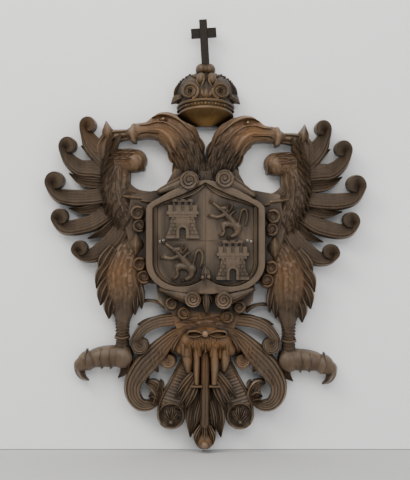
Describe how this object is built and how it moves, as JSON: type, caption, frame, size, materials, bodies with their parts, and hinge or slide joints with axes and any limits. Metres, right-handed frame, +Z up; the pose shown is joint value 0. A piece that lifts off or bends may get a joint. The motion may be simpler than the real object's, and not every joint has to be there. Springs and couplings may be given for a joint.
{
  "type": "carved coat of arms",
  "caption": "Carved wooden wall relief of a crowned double-headed eagle with a quartered shield on its breast, a collar, and a tail of scrolls.",
  "frame": {"origin": "on the flat back, behind the middle of the shield where the quartering lines cross", "axes": "+Z up, the carved face looks along -Y, +Y runs out of the flat back into the wall, +X to the viewer's right"},
  "size_m": [0.7492, 0.0868, 1.0007],
  "materials": {
    "carved_wood": "dark brown stained wood with a satin wax sheen, warmer on the heads, thighs and ram",
    "shield_wood": "dark grey-brown stained wood, waxed",
    "crown_wood": "dark brown stained wood, golden brown on the underside",
    "cross_wood": "flat slats with the grain along each, dull dark brown",
    "pin_metal": "small bright domed nail heads"
  },
  "bodies": {
    "root": {"eagle": "carved_wood", "shield": "shield_wood", "crown": "crown_wood", "cross_upright": "cross_wood", "cross_bar": "cross_wood", "shield_pin_left_outer": "pin_metal", "shield_pin_left_inner": "pin_metal", "shield_pin_right_outer": "pin_metal", "shield_pin_right_inner": "pin_metal"}
  },
  "joints": []
}
